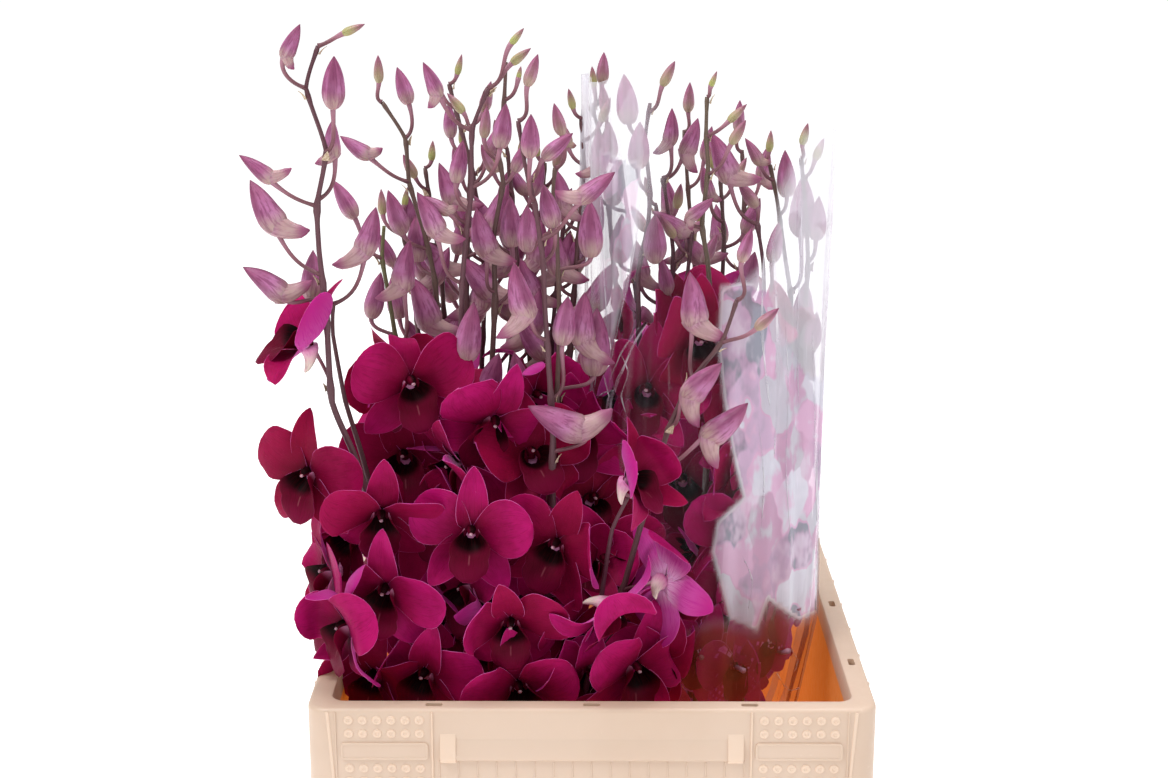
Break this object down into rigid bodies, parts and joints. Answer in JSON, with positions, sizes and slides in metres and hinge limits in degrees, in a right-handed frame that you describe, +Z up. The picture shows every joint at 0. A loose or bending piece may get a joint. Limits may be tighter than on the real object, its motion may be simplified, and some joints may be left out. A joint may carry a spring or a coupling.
{
  "type": "dendrobium orchid sprays in a flower crate",
  "caption": "Bunches of cut dendrobium orchid sprays, one in a clear film sleeve, standing in an open rectangular plastic flower crate.",
  "frame": {"origin": "centre of the crate's flat underside", "axes": "+Z up, -Y out of the crate's short front face towards the viewer, +X to the viewer's right; the crate's long sides run along Y"},
  "size_m": [0.3295, 0.4072, 0.5853],
  "materials": {
    "crate_plastic": "peach-beige injection-moulded polypropylene, slightly translucent, fine satin grain",
    "clear_film": "thin clear polypropylene film with creases and bright reflections",
    "rubber_band": "plain tan rubber, matt",
    "stem_and_bud": "plant tissue: plum-brown waxy stems, mauve buds with plum veins and green-yellow bases",
    "flower_tepal": "plant tissue: velvety crimson-magenta petals and sepals, nearly black throat, paler backs"
  },
  "bodies": {
    "root": {"crate": "crate_plastic", "sleeve": "clear_film", "tie_front": "rubber_band", "tie_sleeved": "rubber_band", "spray_01": "stem_and_bud", "spray_02": "stem_and_bud", "spray_03": "stem_and_bud", "spray_04": "stem_and_bud", "spray_05": "stem_and_bud", "spray_06": "stem_and_bud", "spray_07": "stem_and_bud", "spray_08": "stem_and_bud", "spray_09": "stem_and_bud", "spray_10": "stem_and_bud", "spray_11": "stem_and_bud", "spray_12": "stem_and_bud", "spray_13": "stem_and_bud", "spray_14": "stem_and_bud", "spray_15": "stem_and_bud", "spray_16": "stem_and_bud", "spray_17": "stem_and_bud", "spray_18": "stem_and_bud", "spray_19": "stem_and_bud", "spray_20": "stem_and_bud", "flower_01": "flower_tepal", "flower_02": "flower_tepal", "flower_03": "flower_tepal", "flower_04": "flower_tepal", "flower_05": "flower_tepal", "flower_06": "flower_tepal", "flower_07": "flower_tepal", "flower_08": "flower_tepal", "flower_09": "flower_tepal", "flower_10": "flower_tepal", "flower_11": "flower_tepal", "flower_12": "flower_tepal", "flower_13": "flower_tepal", "flower_14": "flower_tepal", "flower_15": "flower_tepal", "flower_16": "flower_tepal", "flower_17": "flower_tepal", "flower_18": "flower_tepal", "flower_19": "flower_tepal", "flower_20": "flower_tepal", "flower_21": "flower_tepal", "flower_22": "flower_tepal", "flower_23": "flower_tepal", "flower_24": "flower_tepal", "flower_25": "flower_tepal", "flower_26": "flower_tepal", "flower_27": "flower_tepal", "flower_28": "flower_tepal", "flower_29": "flower_tepal", "flower_30": "flower_tepal", "flower_31": "flower_tepal", "flower_32": "flower_tepal", "flower_33": "flower_tepal"}
  },
  "joints": []
}
